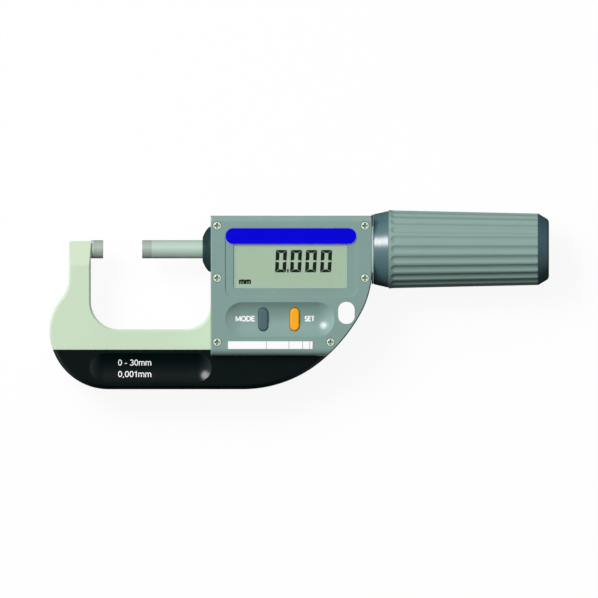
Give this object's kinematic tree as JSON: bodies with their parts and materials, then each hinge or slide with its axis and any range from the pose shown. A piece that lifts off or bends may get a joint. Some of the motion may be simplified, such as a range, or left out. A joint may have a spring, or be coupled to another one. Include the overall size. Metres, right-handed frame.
{
  "type": "digital outside micrometer",
  "caption": "Quick-feed digital outside micrometer with a C-frame, display housing, non-rotating spindle and fluted thimble.",
  "frame": {"origin": "centre of the anvil's measuring face", "axes": "+X along the measuring line from anvil to thimble, +Z out of the display side, +Y from the lower limb to the spindle"},
  "size_m": [0.1783, 0.064, 0.028],
  "materials": {
    "frame_enamel": "satin enamel",
    "cover_grey": "satin moulded",
    "shell_black": "satin moulded",
    "grip_black": "satin moulded",
    "band_blue": "gloss",
    "print_white": "matt print",
    "window_clear": "clear",
    "display_face": "matt grey-green",
    "button_dark": "satin",
    "button_orange": "satin",
    "ground_steel": "ground",
    "carbide": "lapped",
    "screw_steel": "bright",
    "nut_slate": "satin",
    "thimble_slate": "gloss",
    "grip_grey": "satin",
    "board_green": "solder mask",
    "brass": "turned",
    "rubber_black": "matt",
    "spring_steel": "hardened"
  },
  "bodies": {
    "body": {"frame": "frame_enamel", "anvil": "ground_steel", "anvil_carbide_tip": "carbide", "grip_front": "grip_black", "grip_rear": "grip_black", "grip_screws": "screw_steel", "front_cover": "cover_grey", "cover_gasket": "rubber_black", "cover_screws": "screw_steel", "rear_shell": "shell_black", "rear_screws": "screw_steel", "display_window": "window_clear", "display_module": "display_face", "name_band": "band_blue", "label_bar": "print_white", "badge_oval": "print_white", "circuit_board": "board_green", "board_screws": "screw_steel", "read_head": "board_green", "button_membrane": "rubber_black", "battery_contact": "spring_steel", "battery": "spring_steel", "seal_nut": "nut_slate", "wiper_seal": "rubber_black", "spindle_bush": "brass", "guide_tube": "ground_steel", "barrel_ring": "screw_steel", "thrust_washer_front": "brass", "thrust_washer_rear": "brass", "guide_nut": "ground_steel"},
    "spindle": {"spindle": "ground_steel", "spindle_carbide_tip": "carbide", "spindle_carriage": "ground_steel", "follower_pin": "spring_steel", "scale_carrier": "ground_steel", "scale_target": "board_green"},
    "feed_sleeve": {"lead_sleeve": "ground_steel"},
    "thimble": {"thimble_core": "thimble_slate", "thimble_grip": "grip_grey", "thimble_cap": "thimble_slate", "clutch_spring": "spring_steel"},
    "mode_key": {"button_mode": "button_dark"},
    "set_key": {"button_set": "button_orange"},
    "battery_lid_seal": {"battery_cover_seal": "rubber_black"},
    "battery_lid": {"battery_cover": "shell_black"}
  },
  "joints": [
    {"name": "screw_turn", "type": "hinge", "parent": "body", "child": "feed_sleeve", "pos_m": [0.12, 0, 0], "axis": [-1, 0, 0], "range_deg": [-597.5, 500.3]},
    {"name": "spindle_slide", "type": "slide", "parent": "body", "child": "spindle", "axis": [-1, 0, 0], "range_m": [-0.0166, 0.0139]},
    {"name": "thimble_slip", "type": "hinge", "parent": "feed_sleeve", "child": "thimble", "pos_m": [0.12, 0, 0], "axis": [-1, 0, 0], "continuous": true},
    {"name": "mode_press", "type": "slide", "parent": "body", "child": "mode_key", "axis": [0, 0, -1], "range_m": [0, 0.0005], "stiffness_N_per_m": 800, "springref_m": -0.0005},
    {"name": "set_press", "type": "slide", "parent": "body", "child": "set_key", "axis": [0, 0, -1], "range_m": [0, 0.0005], "stiffness_N_per_m": 800, "springref_m": -0.0005},
    {"name": "battery_cover_lift", "type": "slide", "parent": "body", "child": "battery_lid_seal", "axis": [0, 0, -1], "range_m": [0, 0.012]},
    {"name": "battery_cover_turn", "type": "hinge", "parent": "battery_lid_seal", "child": "battery_lid", "pos_m": [0.06, -0.024, -0.01], "axis": [0, 0, -1], "range_deg": [0, 45]}
  ],
  "couplings": [
    {"joint": "spindle_slide", "follows": "screw_turn", "m_per_rad": 0.0015915}
  ]
}
